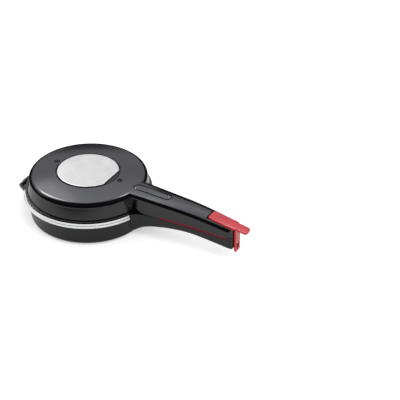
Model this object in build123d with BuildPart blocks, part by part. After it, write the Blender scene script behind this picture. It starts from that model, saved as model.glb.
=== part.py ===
"""Hamburger maker: a round electric clamshell on a long two-part handle, with a red latch.

All sizes are in millimetres. The origin lies on the worktop under the middle of the round
head, +X runs along the handle, +Z is up, and the hinge is at the -X side.
"""
import os
from math import cos, radians, sin, sqrt

from build123d import *

# Clearances
parting_gap = 0.4
moulded_gap = 0.3
seat_gap = 0.1
running_gap = 0.05
press_gap = 0.02
screw_clearance = 0.2

# Base shell
foot_stand = 2.0
base_depth = 38.0
base_wall = 2.6
rim_radius = 84.4
body_inset = 1.2
body_draft = 3.6
base_corner = 6.5
ledge_width = 4.0
ledge_depth = 3.0
rim_lip = 1.0
ring_height = 6.4
ring_thickness = 2.4
ring_flare = 1.1
ring_crease = 0.25
ring_end_half = 29.7

# Lid shell
lid_inset = 4.2
lid_height = 25.5
lid_crown = 4.1
lid_wall = 2.6
lid_flare = 3.0
shoulder_run = 6.2
shoulder_drop = 7.0
flange_overhang = 1.4
flange_thickness = 2.2
flange_round = 0.9

# Badge on the lid
badge_screw_gap = 8.4
badge_thickness = 1.8
badge_groove = 2.2
badge_groove_depth = 1.1
badge_chord_inset = 5.0
badge_seat_depth = 2.5
badge_edge = 0.4
badge_skin = 2.6

# Cooking plates
plate_thickness = 3.2
land_thickness = 2.9
land_width = 17.2
dish_draft = 4.5
dish_round = 3.0
lower_dish_depth = 13.7
upper_dish_depth = 5.9
upper_plate_lap = 1.0
channel_inset = 9.2
channel_width = 4.0
channel_depth = 1.3

# Heating elements and reflectors
element_inset = 20.0
element_radius = 3.2
element_gap_angle = 34.0
element_bend = 6.0
element_tail = 2.4
cold_pin_radius = 1.4
cold_pin_length = 2.5
rib_width = 0.8
rib_height = 2.4
reflector_thickness = 0.6
reflector_lap = 0.5
reflector_lip = 3.0
tail_hole_radius = 4.9
boss_radius = 4.6
lower_boss = 6.8
upper_boss = 8.6

# Screws through the shells into the plates
screw_inset = 10.0
screw_radius = 1.9
head_radius = 3.4
head_height = 1.8
well_radius = 3.9
post_wall = 1.7
lid_well_depth = 2.2
base_well_depth = 5.0
thread_length = 5.5
slot_width = 0.9
slot_depth = 0.8
base_screw_count = 3

# Rubber feet
foot_count = 4
foot_inset = 18.6
foot_radius = 7.0
foot_recess = 1.0
foot_round = 0.8

# Handle in plan, and its rounded upper edge
grip_root_inset = 4.4
grip_length = 145.0
grip_root_half = 16.9
grip_taper = 0.04
grip_end_round = 7.0
grip_edge_out = 2.6
grip_edge_drop = 6.0
grip_side_out = 2.8
grip_wall = 2.8

# Top of the handle from the side: distance from its root, drop below the lid's top, crown
crest_stations = (
    (-22.0, 3.6, 1.2),
    (0.0, 3.5, 1.4),
    (25.0, 4.2, 1.8),
    (52.0, 5.4, 2.1),
    (80.0, 7.1, 2.2),
)

# Its straight stretch falls at the latch's slope: distance from the root and crown
latch_slope = 0.1705
crest_end_drop = 17.0
straight_stations = ((108.0, 2.0), (128.0, 1.8), (148.0, 1.6))

# Underside of the handle: distance from its root, drop below the rim, flare of its upper
# edges towards the head and how far its lower edges are drawn in
under_stations = (
    (-10.0, 35.5, 8.6, 10.0),
    (-2.0, 32.6, 8.6, 9.6),
    (3.0, 30.3, 8.0, 8.8),
    (7.0, 27.4, 5.4, 6.2),
    (11.0, 24.8, 3.0, 3.8),
    (20.0, 20.6, 0.9, 1.6),
    (34.0, 16.8, 0.0, 0.8),
    (58.0, 12.8, 0.0, 0.8),
    (85.0, 11.5, 0.0, 0.8),
    (112.0, 14.2, 0.0, 0.8),
    (132.0, 17.0, 0.0, 0.8),
    (148.0, 17.4, 0.0, 0.8),
)
under_round = 4.0

# Parting of the handle: a shallow arc, with the red cover lying on it
bow_radius = 1130.0
bow_peak_run = 63.0
bow_peak_drop = 1.0
cover_start_run = 40.0
cover_end_inset = 6.3
cover_thickness = 3.6
cover_inset = 0.5
cover_end_round = 1.0
cover_screw_runs = (54.0, 118.0)

# Cavities and screws of the handle
cavity_start_run = -18.0
cavity_end_wall = 6.6
lower_cavity_run = 14.0
lower_end_wall = 9.0
liner_thickness = 2.4
liner_screw_runs = (57.0, 91.0)
small_screw_radius = 1.3
small_head_radius = 2.5
small_head_height = 1.3
small_boss_radius = 3.4
small_thread = 4.0

# Hinge
hinge_reach = 4.8
hinge_drop = 5.2
hinge_pin_radius = 1.8
knuckle_radius = 4.2
knuckle_half = 9.7
knuckle_room = 0.5
hinge_half = 22.0
hinge_side_gap = 0.4
pin_head_radius = 2.6
pin_head = 1.2
pin_end = 1.6
pin_end_room = 3.0
clip_thickness = 0.6
clip_radius = 2.7
clip_groove_radius = 1.3
block_half = 36.5
block_reach = 4.6
block_root_half = 44.6
block_thickness = 3.8
block_rib = 3.0
block_pocket_depth = 2.6
stop_reach = 6.1
stop_angle = 204.0
stop_width = 2.4
stop_half = 4.0

# Latch lever, pivoted in the end of the upper half
latch_inlay = 36.7
latch_tongue = 18.6
latch_width = 19.0
tongue_width = 14.0
latch_step_inset = 1.2
latch_step = 2.4
latch_thickness = 2.8
latch_proud = 0.6
latch_corner = 4.0
latch_edge = 0.7
pivot_inset = 12.0
pivot_drop = 6.4
latch_pin_radius = 1.5
latch_pin_half = 11.2
latch_pin_extra = 1.6
lug_radius = 3.3
lug_half = 7.4
lug_width = 3.0
pocket_side_gap = 0.4
pocket_end_gap = 1.7
well_reach = 5.0
sill_gap = 0.45
leg_gap = 0.6
leg_thickness = 2.6
leg_width = 12.0
leg_below_nose = 6.1
leg_tip_lead = 3.0
leg_tip_edge = 0.6
window_width = 7.0
window_height = 6.8
window_play = 2.0
spring_strip = 0.4
spring_width = 6.0
spring_inset = 3.2
spring_run = 12.0
spring_foot = 4.0

# Catch nose on the lower half
nose_width = 5.0
nose_height = 3.0
nose_reach = 2.6
nose_lead = 1.4
nose_drop = 18.4

# Pilot light in the root of the handle
pilot_start_run = -7.6
pilot_length = 57.0
pilot_width = 13.6
pilot_gap = 1.0
pilot_proud = 0.6
pilot_flange = 1.5
pilot_flange_thickness = 1.0
lamp_radius = 2.4
lamp_length = 11.0
lamp_runs = (6.0, 30.0)
lamp_drop = 7.5
holder_thickness = 1.4
holder_width = 10.0
holder_leg = 2.0
holder_start_run = -3.0
holder_end_run = 39.0

# Parts in the base
thermostat_radius = 8.4
thermostat_height = 5.6
thermostat_ear = 13.0
thermostat_ear_width = 6.0
thermostat_ear_thickness = 0.8
blade_length = 6.0
blade_width = 4.0
blade_thickness = 0.8
fuse_radius = 1.9
fuse_length = 11.0
fuse_lead_radius = 0.6
fuse_y = 22.0
terminal_block_inset = 21.6
terminal_block_width = 13.0
terminal_block_length = 26.0
terminal_block_height = 8.6
terminal_pitch = 8.0
terminal_bore_radius = 1.8
terminal_screw_radius = 1.4
terminal_chamfer = 1.0

# Cord inlet on the far side
inlet_angle = 140.0
inlet_height = 15.5
inlet_boss_radius = 8.5
inlet_boss_length = 8.0
inlet_boss_proud = 2.0
bush_neck_radius = 5.0
bush_flange_radius = 6.8
bush_flange = 1.5
bush_bore_radius = 3.4
bush_snap = 1.5
bush_snap_radius = 5.8

# Levels and radii of the base, worked out from the sizes above
rim_top = foot_stand + base_depth
floor_top = foot_stand + base_wall
base_body_radius = rim_radius - body_inset
base_floor_radius = base_body_radius - body_draft
flange_radius = rim_radius + flange_overhang
ring_top = rim_top - seat_gap
ring_bottom = ring_top - ring_height
ring_inner = rim_radius + seat_gap
ring_outer = ring_inner + ring_thickness
lip_top = ring_bottom - seat_gap
lip_bottom = lip_top - rim_lip
recess_radius = rim_radius - base_wall
lower_land = rim_top - moulded_gap
ledge_z = lower_land - land_thickness
ledge_radius = recess_radius - ledge_width
lower_plate_radius = recess_radius - seat_gap
dish_radius = lower_plate_radius - land_width
dish_floor_radius = dish_radius - dish_draft
channel_radius = lower_plate_radius - channel_inset
element_ring_radius = dish_floor_radius - element_inset
screw_circle = dish_floor_radius - screw_inset
foot_circle = base_floor_radius - foot_inset
terminal_block_x = terminal_block_inset - base_floor_radius
reflector_radius = dish_radius + reflector_lap
lower_dish = lower_land - lower_dish_depth
lower_back = lower_dish - plate_thickness
lower_boss_end = lower_back - lower_boss
base_post_top = lower_boss_end - reflector_thickness
lower_element_z = lower_back - element_radius - running_gap
base_head_top = foot_stand + base_well_depth
base_screw_reach = lower_boss_end + thread_length - base_head_top
post_radius = well_radius + post_wall
inlet_z = foot_stand + inlet_height
corner_top = foot_stand + base_corner
wall_rise = (base_body_radius - base_floor_radius) / (lip_bottom - corner_top)
ledge_foot_z = ledge_z - ledge_depth - ledge_width
inlet_boss_face = base_floor_radius + wall_rise * (inlet_z - corner_top) + inlet_boss_proud
inlet_boss_back = inlet_boss_face - inlet_boss_length

# Levels and radii of the lid
lid_radius = rim_radius - lid_inset
lid_bottom = rim_top + parting_gap
flange_top = lid_bottom + flange_thickness
shoulder_z = lid_bottom + lid_height
lid_top = shoulder_z + lid_crown
wall_top_z = shoulder_z - shoulder_drop
shoulder_radius = lid_radius - shoulder_run
crown_radius = (shoulder_radius**2 + lid_crown**2) / (2 * lid_crown)
badge_radius = screw_circle - badge_screw_gap
badge_chord = badge_radius - badge_chord_inset
badge_floor = lid_top - badge_seat_depth
badge_recess_radius = badge_radius + badge_groove
lid_skin_z = badge_floor - badge_skin
upper_plate_radius = lid_radius - lid_wall + upper_plate_lap
upper_recess_radius = upper_plate_radius + moulded_gap
upper_land = lid_bottom + seat_gap
lid_ledge_z = upper_land + land_thickness
upper_dish = upper_land + upper_dish_depth
upper_back = upper_dish + plate_thickness
upper_boss_end = upper_back + upper_boss
lid_post_end = upper_boss_end + reflector_thickness
upper_element_z = upper_back + element_radius + running_gap
lid_well_floor = lid_top - (crown_radius - sqrt(crown_radius**2 - screw_circle**2)) - lid_well_depth
lid_screw_reach = lid_well_floor - upper_boss_end + thread_length
screw_places = [(screw_circle, 0.0), (-screw_circle, 0.0)]

# Places along the handle
grip_root_x = rim_radius - grip_root_inset
grip_end_x = grip_root_x + grip_length
crest_end_z = lid_top - crest_end_drop
bow_peak_x = grip_root_x + bow_peak_run
bow_peak_z = rim_top - bow_peak_drop
cover_start_x = grip_root_x + cover_start_run
cover_end_x = grip_end_x - cover_end_inset
cover_screw_xs = [grip_root_x + run for run in cover_screw_runs]
latch_start_x = grip_end_x - latch_inlay
latch_tip_x = grip_end_x + latch_tongue
latch_step_x = grip_end_x - latch_step_inset
cavity_start_x = grip_root_x + cavity_start_run
cavity_end_x = latch_start_x - pocket_end_gap - cavity_end_wall
lower_cavity_start_x = grip_root_x + lower_cavity_run
lower_cavity_end_x = grip_end_x - lower_end_wall
liner_start_x = cover_start_x + liner_thickness
liner_screw_xs = [grip_root_x + run for run in liner_screw_runs]
upper_lift = cover_thickness + parting_gap
pilot_start_x = grip_root_x + pilot_start_run
pilot_skin = grip_wall + running_gap
lamp_z = lid_top - crest_stations[2][1] - lamp_drop
pilot_cut_z = lamp_z - lamp_drop
lamp_xs = [grip_root_x + run for run in lamp_runs]
holder_start_x = grip_root_x + holder_start_run
holder_end_x = grip_root_x + holder_end_run

# Hinge and latch
hinge_x = -rim_radius - hinge_reach
hinge_z = rim_top - hinge_drop
block_outer_x = -rim_radius - block_reach
block_root_x = -sqrt((ring_outer + ring_flare) ** 2 - block_root_half**2)
block_bottom = rim_top - block_thickness
knuckle_gap_half = knuckle_half + hinge_side_gap
notch_x = hinge_x + knuckle_radius + knuckle_room
pivot_x = grip_end_x - pivot_inset
pivot_z = crest_end_z + latch_slope * pivot_inset - pivot_drop
latch_drop = latch_thickness - latch_proud
pocket_floor_z = pivot_z + pivot_drop - latch_drop - sill_gap
spring_start_x = latch_start_x + spring_inset
spring_end_x = spring_start_x + spring_run
spring_foot_x = spring_end_x + spring_foot
leg_x = grip_end_x + leg_gap
nose_bottom_z = rim_top - nose_drop
window_bottom_z = nose_bottom_z - window_play
leg_tip_z = nose_bottom_z - leg_below_nose

# Reaches past every part, for cuts
far_above = lid_top + 10.0
far_below = 8.0
far_across = 60.0

os.makedirs("parts", exist_ok=True)


def keep(name: str, part: Part) -> None:
    """Label a finished piece and write it to its file."""
    part.label = name
    export_step(part, f"parts/{name}.step")


def crest_line(x: float) -> float:
    """Height of the straight stretch of the crest at x."""
    return crest_end_z + latch_slope * (grip_end_x - x)


def grip_half(x: float) -> float:
    """Half width of the handle at the edge of its top face."""
    return grip_root_half - grip_taper * (x - grip_root_x)


def side_half(x: float) -> float:
    """Half width of the handle at its parting."""
    return grip_half(x) + grip_side_out


def bow_z(x: float, lift: float) -> float:
    """Height of the handle's parting arc at x, raised by lift."""
    return bow_peak_z + lift - bow_radius + sqrt(bow_radius**2 - (x - bow_peak_x) ** 2)


def upright_plane(angle: float, radius: float, height: float) -> Plane:
    """A plane facing outwards from the Z axis at an angle in degrees."""
    outward = Vector(cos(radians(angle)), sin(radians(angle)), 0)
    across = Vector(-sin(radians(angle)), cos(radians(angle)), 0)
    return Plane(origin=outward * radius + Vector(0, 0, height), x_dir=across, z_dir=outward)


def bow_band(low: float, high: float, x_start: float, x_end: float, half: float) -> Part:
    """A plate between two lifts of the parting arc, as wide as twice half."""
    x_middle = (x_start + x_end) / 2
    with BuildPart() as band:
        with BuildSketch(Plane.XZ):
            with BuildLine():
                ends = []
                for lift in (low, high):
                    points = [(x, bow_z(x, lift)) for x in (x_start, x_middle, x_end)]
                    ThreePointArc(*points)
                    ends.append((points[0], points[-1]))
                Line(ends[0][0], ends[1][0])
                Line(ends[0][1], ends[1][1])
            make_face()
        extrude(amount=half, both=True)
    return band.part


def grip_plan(x_start: float, x_end: float, inset: float, end_round: float) -> Sketch:
    """The handle's tapering outline in plan, drawn in by inset."""
    with BuildSketch(mode=Mode.PRIVATE) as plan:
        with BuildLine():
            Polyline(
                (x_start, -side_half(x_start) + inset),
                (x_end, -side_half(x_end) + inset),
                (x_end, side_half(x_end) - inset),
                (x_start, side_half(x_start) - inset),
                close=True,
            )
        make_face()
        if end_round > 0:
            fillet(plan.vertices().group_by(Axis.X)[-1], radius=end_round)
    return plan.sketch


def upper_grip(inset: float, bottom: float) -> Part:
    """The upper half of the handle down to bottom, its skin moved in by inset."""
    stations = [(grip_root_x + run, lid_top - drop, crown) for run, drop, crown in crest_stations]
    for run, crown in straight_stations:
        stations.append((grip_root_x + run, crest_line(grip_root_x + run), crown))
    with BuildPart() as grip:
        for x, crest, crown in stations:
            top_half = grip_half(x) - inset
            band_half = top_half + grip_edge_out
            foot_half = top_half + grip_side_out
            crest_z = crest - inset
            edge_z = crest_z - crown
            band_z = edge_z - grip_edge_drop
            bulge_half = top_half + 0.78 * grip_edge_out
            bulge_z = edge_z - 0.38 * grip_edge_drop
            with BuildSketch(Plane.YZ.offset(x)):
                with BuildLine():
                    Line((-foot_half, bottom), (foot_half, bottom))
                    Line((foot_half, bottom), (band_half, band_z))
                    ThreePointArc((band_half, band_z), (bulge_half, bulge_z), (top_half, edge_z))
                    ThreePointArc((top_half, edge_z), (0, crest_z), (-top_half, edge_z))
                    ThreePointArc((-top_half, edge_z), (-bulge_half, bulge_z), (-band_half, band_z))
                    Line((-band_half, band_z), (-foot_half, bottom))
                make_face()
        loft()
    return grip.part


def lower_grip(inset: float, top: float) -> Part:
    """The lower half of the handle up to top, its skin moved in by inset."""
    corner = under_round * (1 - sin(radians(45)))
    with BuildPart() as grip:
        for run, drop, flare, draw_in in under_stations:
            x = grip_root_x + run
            top_half = side_half(x) + flare - inset
            low_half = top_half - draw_in
            low_z = rim_top - drop + inset
            with BuildSketch(Plane.YZ.offset(x)):
                with BuildLine():
                    Line((-top_half, top), (top_half, top))
                    Line((top_half, top), (low_half, low_z + under_round))
                    ThreePointArc(
                        (low_half, low_z + under_round),
                        (low_half - corner, low_z + corner),
                        (low_half - under_round, low_z),
                    )
                    Line((low_half - under_round, low_z), (under_round - low_half, low_z))
                    ThreePointArc(
                        (under_round - low_half, low_z),
                        (corner - low_half, low_z + corner),
                        (-low_half, low_z + under_round),
                    )
                    Line((-low_half, low_z + under_round), (-top_half, top))
                make_face()
        loft()
    return grip.part


def end_trim() -> Part:
    """What the handle's rounded end leaves out of a square one."""
    with BuildPart() as trim:
        with BuildSketch():
            with Locations((grip_end_x + grip_end_round, 0)):
                Rectangle(4 * grip_end_round, 4 * grip_root_half)
            add(grip_plan(cover_start_x, grip_end_x, -seat_gap, grip_end_round), mode=Mode.SUBTRACT)
        extrude(amount=far_above)
    return trim.part


def screw(shank: float, top: float, length: float, head: float, thickness: float) -> Part:
    """A screw that points down from the underside of its head, at the Z axis."""
    with BuildPart() as body:
        with BuildSketch(Plane.XY.offset(top - length)):
            Circle(shank)
        extrude(amount=length)
        with BuildSketch(Plane.XY.offset(top)):
            Circle(head)
        extrude(amount=thickness)
        chamfer(body.edges().sort_by(Axis.Z)[-1], length=thickness / 3)
        with BuildSketch(Plane.XY.offset(top + thickness)):
            Rectangle(1.3 * head, slot_width)
            Rectangle(slot_width, 1.3 * head)
        extrude(amount=-slot_depth, mode=Mode.SUBTRACT)
    return body.part


def element(height: float, turn: int) -> Part:
    """A sheathed heating ring whose two ends turn up (1) or down (-1) beside the hinge."""
    half_gap = element_gap_angle / 2
    with BuildPart() as tube:
        with BuildSketch(Plane.XZ.rotated((0, 0, 180 + half_gap))):
            with Locations((element_ring_radius, height)):
                Circle(element_radius)
        revolve(axis=Axis.Z, revolution_arc=360 - element_gap_angle)
        for angle, heading in ((180 - half_gap, 1), (180 + half_gap, -1)):
            radial = Vector(cos(radians(angle)), sin(radians(angle)), 0)
            along = Vector(-sin(radians(angle)), cos(radians(angle)), 0) * heading
            start = radial * element_ring_radius + Vector(0, 0, height)
            upright = Plane(origin=start, x_dir=along, z_dir=along.cross(Vector(0, 0, 1)))
            with BuildLine(upright) as tail:
                JernArc((0, 0), (1, 0), element_bend, 90 * turn)
                Line((element_bend, turn * element_bend), (element_bend, turn * (element_bend + element_tail)))
            with BuildSketch(Plane(origin=start, x_dir=radial, z_dir=along)):
                Circle(element_radius)
            sweep(path=tail.line)
            with BuildSketch(Plane(origin=tail.line @ 1, z_dir=tail.line % 1)):
                Circle(cold_pin_radius)
            extrude(amount=cold_pin_length)
    return tube.part


def tail_places() -> list[tuple[float, float]]:
    """Where the heating ring's two ends pass through a reflector."""
    angle = radians(180 - element_gap_angle / 2)
    x = element_ring_radius * cos(angle) - element_bend * sin(angle)
    y = element_ring_radius * sin(angle) + element_bend * cos(angle)
    return [(x, y), (x, -y)]


def reflector(bottom: float, lip_turn: int, hole_places: list[tuple[float, float]]) -> Part:
    """A thin dished sheet with a turned edge, holes for its screws and the ring's ends."""
    lip_bottom_z = bottom + reflector_thickness if lip_turn > 0 else bottom - reflector_lip
    with BuildPart() as sheet:
        with BuildSketch(Plane.XY.offset(bottom)):
            Circle(reflector_radius)
            with Locations(*hole_places):
                Circle(screw_radius + screw_clearance, mode=Mode.SUBTRACT)
            with Locations(*tail_places()):
                Circle(tail_hole_radius, mode=Mode.SUBTRACT)
        extrude(amount=reflector_thickness)
        with BuildSketch(Plane.XY.offset(lip_bottom_z)):
            Circle(reflector_radius)
            Circle(reflector_radius - reflector_thickness, mode=Mode.SUBTRACT)
        extrude(amount=reflector_lip)
    return sheet.part


def turned(points: list[tuple[float, float]]) -> Part:
    """A body of revolution about Z from a closed outline of radius and height."""
    with BuildPart() as body:
        with BuildSketch(Plane.XZ):
            with BuildLine():
                Polyline(*points, close=True)
            make_face()
        revolve(axis=Axis.Z)
    return body.part


def peg(x: float, y: float, radius: float, bottom: float, top: float) -> Part:
    """An upright round peg between two heights."""
    with BuildPart() as body:
        with BuildSketch(Plane.XY.offset(bottom)):
            with Locations((x, y)):
                Circle(radius)
        extrude(amount=top - bottom)
    return body.part


def cross_peg(x: float, z: float, radius: float, y_start: float, y_end: float) -> Part:
    """A round peg that lies along Y."""
    with BuildPart() as body:
        with BuildSketch(Plane.XZ.offset(-y_end)):
            with Locations((x, z)):
                Circle(radius)
        extrude(amount=y_end - y_start)
    return body.part


def slab(x_start: float, x_end: float, bottom: float, top: float) -> Part:
    """A block as wide as any part, between two places along X and two heights."""
    with BuildPart() as body:
        with BuildSketch(Plane.XY.offset(bottom)):
            with Locations(((x_start + x_end) / 2, 0)):
                Rectangle(x_end - x_start, 2 * far_across)
        extrude(amount=top - bottom)
    return body.part


def plate_ribs(bottom: float, top: float) -> Part:
    """The two rings that keep a heating ring in place on the back of its plate."""
    inner = element_ring_radius - element_radius - rib_width
    outer = element_ring_radius + element_radius
    with BuildPart() as ribs:
        with BuildSketch(Plane.XY.offset(bottom)):
            Circle(inner + rib_width)
            Circle(inner, mode=Mode.SUBTRACT)
        extrude(amount=top - bottom)
        with BuildSketch(Plane.XY.offset(bottom)):
            Circle(outer + rib_width)
            Circle(outer, mode=Mode.SUBTRACT)
        extrude(amount=top - bottom)
    return ribs.part


def pilot_plan(grow: float) -> Sketch:
    """The pill outline of the pilot window, made larger by grow all round."""
    with BuildSketch(mode=Mode.PRIVATE) as plan:
        with Locations((pilot_start_x + pilot_length / 2, 0)):
            SlotOverall(pilot_length + 2 * grow, pilot_width + 2 * grow)
    return plan.sketch


def latch_under(x: float) -> float:
    """Height of the underside of the latch lever's plate at x."""
    return crest_line(x) + latch_proud - latch_thickness


def base_screw_places() -> list[tuple[float, float]]:
    """Centres of the screws that hold the lower plate down."""
    angles = [radians(360 / base_screw_count * i) for i in range(base_screw_count)]
    return [(screw_circle * cos(a), screw_circle * sin(a)) for a in angles]


upper_grip_solid = upper_grip(0.0, lid_bottom - upper_lift)
lower_grip_solid = lower_grip(0.0, rim_top)
grip_trim = end_trim()
above_cover = bow_band(-far_below, upper_lift, cover_start_x - parting_gap, latch_tip_x, far_across)
above_lower = bow_band(0.0, far_below, cover_start_x, cover_end_x + parting_gap, far_across)
above_end = bow_band(cover_thickness, far_below, cover_end_x, latch_tip_x, far_across)

# Hollow of the lower half of the handle, round the bosses that take the cover's screws
with BuildPart() as lower_hollow:
    add(lower_grip(grip_wall, rim_top + parting_gap))
    add(slab(lower_cavity_start_x, lower_cavity_end_x, 0.0, far_above), mode=Mode.INTERSECT)
    add(slab(0.0, cover_start_x + grip_wall, rim_top - grip_wall, far_above), mode=Mode.SUBTRACT)
    for x in cover_screw_xs:
        add(peg(x, 0.0, small_boss_radius, 0.0, far_above), mode=Mode.SUBTRACT)

# Base shell: bowl, rim, lower half of the handle, hinge block, catch and cord boss in one moulding
with BuildPart() as base_shell:
    with BuildSketch(Plane.XZ):
        with BuildLine():
            Line((0, foot_stand), (base_floor_radius - base_corner, foot_stand))
            TangentArc(
                (base_floor_radius - base_corner, foot_stand),
                (base_floor_radius, corner_top),
                tangent=(1, 0),
            )
            Polyline(
                (base_floor_radius, corner_top),
                (base_body_radius, lip_bottom),
                (flange_radius, lip_bottom),
                (flange_radius, lip_top),
                (rim_radius, lip_top),
                (rim_radius, rim_top),
                (0, rim_top),
                (0, foot_stand),
            )
        make_face()
    revolve(axis=Axis.Z)
    add(lower_grip_solid)
    add(grip_trim, mode=Mode.SUBTRACT)
    add(above_lower, mode=Mode.SUBTRACT)
    add(above_end, mode=Mode.SUBTRACT)
    add(lower_hollow.part, mode=Mode.SUBTRACT)
    with BuildSketch(Plane.XZ):
        with BuildLine():
            Polyline(
                (grip_end_x - nose_reach, nose_bottom_z),
                (grip_end_x + nose_reach, nose_bottom_z),
                (grip_end_x + nose_reach, nose_bottom_z + nose_height - nose_lead),
                (grip_end_x + nose_reach - nose_lead, nose_bottom_z + nose_height),
                (grip_end_x - nose_reach, nose_bottom_z + nose_height),
                close=True,
            )
        make_face()
    extrude(amount=nose_width / 2, both=True)
    with BuildSketch(Plane.XY.offset(block_bottom)):
        with BuildLine():
            Polyline(
                (0, -block_root_half),
                (block_root_x, -block_root_half),
                (block_outer_x, -block_half),
                (block_outer_x, block_half),
                (block_root_x, block_root_half),
                (0, block_root_half),
                close=True,
            )
        make_face()
    extrude(amount=block_thickness)
    with BuildSketch(Plane.XZ):
        with Locations((hinge_x, hinge_z)):
            Circle(knuckle_radius)
        with BuildLine():
            Polyline(
                (hinge_x, hinge_z - knuckle_radius),
                (block_root_x, hinge_z - 2 * knuckle_radius),
                (block_root_x, block_bottom + 1),
                (hinge_x, block_bottom + 1),
                close=True,
            )
        make_face()
    extrude(amount=hinge_half, both=True)
    add(turned([
        (0, floor_top),
        (base_floor_radius - base_corner, floor_top),
        (base_floor_radius - base_wall, corner_top),
        (base_floor_radius + wall_rise * (ledge_foot_z - corner_top) - base_wall, ledge_foot_z),
        (ledge_radius, ledge_z - ledge_depth),
        (ledge_radius, ledge_z),
        (recess_radius, ledge_z),
        (recess_radius, far_above),
        (0, far_above),
    ]), mode=Mode.SUBTRACT)
    with BuildSketch(upright_plane(inlet_angle, inlet_boss_back, inlet_z)):
        Circle(inlet_boss_radius)
    extrude(amount=inlet_boss_face - inlet_boss_back)
    with BuildSketch(upright_plane(inlet_angle, 0, inlet_z)):
        Circle(bush_neck_radius + seat_gap)
    extrude(amount=2 * inlet_boss_face, mode=Mode.SUBTRACT)
    with BuildSketch():
        with Locations((2 * notch_x, 0)):
            Rectangle(-2 * notch_x, 2 * knuckle_gap_half)
    extrude(amount=far_above, mode=Mode.SUBTRACT)
    for side in (1, -1):
        with BuildSketch(Plane.XY.offset(rim_top)):
            with BuildLine():
                Polyline(
                    (block_root_x - block_rib, side * (knuckle_gap_half + block_rib)),
                    (block_outer_x + block_rib, side * (knuckle_gap_half + block_rib)),
                    (block_outer_x + block_rib, side * (block_half - block_rib / 2)),
                    (block_root_x - block_rib, side * (block_root_half - block_rib)),
                    close=True,
                )
            make_face()
            Circle(recess_radius + base_wall, mode=Mode.SUBTRACT)
        extrude(amount=-block_pocket_depth, mode=Mode.SUBTRACT)
        add(
            cross_peg(
                hinge_x,
                hinge_z,
                pin_head_radius + moulded_gap,
                side * hinge_half + min(side, 0) * pin_end_room,
                side * hinge_half + max(side, 0) * pin_end_room,
            ),
            mode=Mode.SUBTRACT,
        )
    add(cross_peg(hinge_x, hinge_z, hinge_pin_radius + press_gap, -hinge_half, hinge_half), mode=Mode.SUBTRACT)
    for x, y in base_screw_places():
        add(peg(x, y, post_radius, foot_stand, base_post_top))
        add(peg(x, y, well_radius, 0.0, base_head_top), mode=Mode.SUBTRACT)
        add(peg(x, y, screw_radius + screw_clearance, 0.0, far_above), mode=Mode.SUBTRACT)
    with BuildSketch(Plane.XY.offset(foot_stand)):
        with PolarLocations(foot_circle, foot_count, start_angle=180 / foot_count):
            Circle(foot_radius + seat_gap)
    extrude(amount=foot_recess, mode=Mode.SUBTRACT)
    for x in cover_screw_xs:
        top = bow_z(x, 0.0)
        add(peg(x, 0.0, small_screw_radius + press_gap, top - small_thread - 1, far_above), mode=Mode.SUBTRACT)
keep("base_shell", base_shell.part)

# Bright ring round the rim, open at the handle and at the hinge block
with BuildPart() as rim_ring:
    crease_z = (ring_top + ring_bottom) / 2
    add(turned([
        (ring_inner, ring_bottom),
        (ring_outer + ring_flare, ring_bottom),
        (ring_outer + ring_flare / 2 + ring_crease / 2, crease_z - ring_crease),
        (ring_outer + ring_flare / 2 - ring_crease, crease_z),
        (ring_outer + ring_flare / 2 - ring_crease / 2, crease_z + ring_crease),
        (ring_outer, ring_top),
        (ring_inner, ring_top),
    ]))
    with BuildSketch(Plane.XY.offset(ring_bottom)):
        with Locations((2 * rim_radius, 0)):
            Rectangle(4 * rim_radius, 2 * ring_end_half)
        with Locations((-2 * rim_radius, 0)):
            Rectangle(4 * rim_radius, 2 * (block_root_half + moulded_gap))
    extrude(amount=ring_height, mode=Mode.SUBTRACT)
keep("rim_ring", rim_ring.part)

with BuildPart() as rubber_feet:
    with BuildSketch():
        with PolarLocations(foot_circle, foot_count, start_angle=180 / foot_count):
            Circle(foot_radius)
    extrude(amount=foot_stand + foot_recess)
    chamfer(rubber_feet.faces().group_by(Axis.Z)[0].edges(), length=foot_round)
keep("rubber_feet", rubber_feet.part)

with BuildPart() as base_screws:
    with Locations(*[Location((x, y, 2 * base_head_top), (180, 0, 0)) for x, y in base_screw_places()]):
        add(screw(screw_radius, base_head_top, base_screw_reach, head_radius, head_height))
keep("base_screws", base_screws.part)

# Lower cooking plate: a dish with a grease channel in its land, ribs and bosses on its back
with BuildPart() as lower_plate:
    add(turned([
        (0, lower_dish),
        (dish_floor_radius - dish_round, lower_dish),
        (dish_floor_radius, lower_dish + dish_round),
        (dish_radius, lower_land),
        (channel_radius - channel_width / 2, lower_land),
        (channel_radius - channel_width / 4, lower_land - channel_depth),
        (channel_radius + channel_width / 4, lower_land - channel_depth),
        (channel_radius + channel_width / 2, lower_land),
        (lower_plate_radius, lower_land),
        (lower_plate_radius, ledge_z),
        (dish_radius + land_thickness, ledge_z),
        (dish_floor_radius + plate_thickness, lower_back + dish_round),
        (dish_floor_radius, lower_back),
        (0, lower_back),
    ]))
    add(plate_ribs(lower_back - rib_height, lower_back))
    for x, y in base_screw_places():
        add(peg(x, y, boss_radius, lower_boss_end, lower_back))
        add(peg(x, y, screw_radius + press_gap, 0.0, lower_boss_end + thread_length + seat_gap), mode=Mode.SUBTRACT)
keep("lower_plate", lower_plate.part)

lower_element = element(lower_element_z, -1)
keep("lower_element", lower_element)

lower_reflector = reflector(base_post_top, 1, base_screw_places())
keep("lower_reflector", lower_reflector)

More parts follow.
